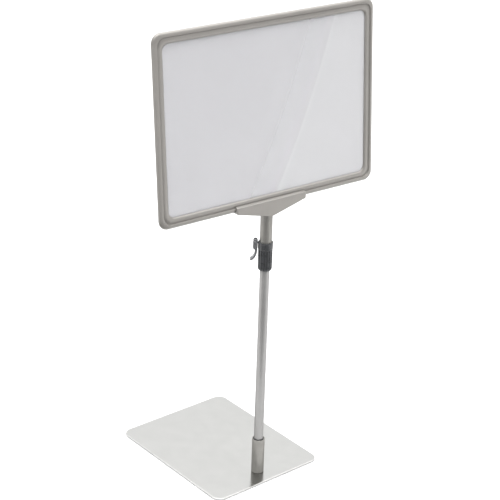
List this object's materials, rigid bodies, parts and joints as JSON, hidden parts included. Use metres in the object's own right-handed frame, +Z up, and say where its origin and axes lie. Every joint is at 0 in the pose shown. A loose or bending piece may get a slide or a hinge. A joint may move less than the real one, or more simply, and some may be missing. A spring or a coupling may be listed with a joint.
{
  "type": "sign stand",
  "caption": "Table-top sign stand with a landscape A4 plastic frame on a height-adjustable tube, a cam-lever clamp collar, a thin mast and a flat rounded steel base plate.",
  "frame": {"origin": "centre of the base plate's footprint, on the surface that the stand rests on", "axes": "+Z up along the mast, -Y towards the front that the sign faces, +X to the right of the reader"},
  "size_m": [0.3165, 0.21, 0.6091],
  "materials": {
    "silver_powder_coat": "satin",
    "silver_tube": "satin",
    "grey_moulding": "matte",
    "dark_grey_moulding": "matte",
    "bright_steel": "satin",
    "plunger_brass": "satin",
    "pad_rubber": "matte",
    "clear_sheet": "gloss",
    "blank_card": "matte"
  },
  "bodies": {
    "base": {"base_plate": "silver_powder_coat", "base_screw": "bright_steel", "socket_plug": "bright_steel", "socket_tube": "silver_tube", "socket_bush": "dark_grey_moulding", "foot_pad_1": "pad_rubber", "foot_pad_2": "pad_rubber", "foot_pad_3": "pad_rubber", "foot_pad_4": "pad_rubber"},
    "mast": {"mast_tube": "silver_tube", "mast_foot_plug": "dark_grey_moulding", "mast_top_guide": "dark_grey_moulding"},
    "head": {"upper_tube": "silver_tube", "clamp_collar": "dark_grey_moulding", "clamp_plunger": "plunger_brass", "lever_pin": "bright_steel", "saddle": "grey_moulding", "saddle_screw": "bright_steel", "frame_front": "grey_moulding", "frame_back": "grey_moulding"},
    "lever": {"clamp_lever": "dark_grey_moulding"},
    "pocket": {"sign_pocket": "clear_sheet"},
    "card": {"sign_card": "blank_card"}
  },
  "joints": [
    {"name": "mast_swivel", "type": "hinge", "parent": "base", "child": "mast", "pos_m": [0, -0.08, 0.0095], "axis": [0, 0, 1], "continuous": true},
    {"name": "head_lift", "type": "slide", "parent": "mast", "child": "head", "axis": [0, 0, 1], "range_m": [0, 0.042]},
    {"name": "lever_release", "type": "hinge", "parent": "head", "child": "lever", "pos_m": [-0.00946, -0.07183, 0.3314], "axis": [0.6534, 0.757, 0], "range_deg": [0, 100]},
    {"name": "pocket_lift", "type": "slide", "parent": "head", "child": "pocket", "axis": [0.0046, 0.0801, 0.9968], "range_m": [0, 0.2]},
    {"name": "card_lift", "type": "slide", "parent": "pocket", "child": "card", "axis": [0.0046, 0.0801, 0.9968], "range_m": [0, 0.2]}
  ]
}
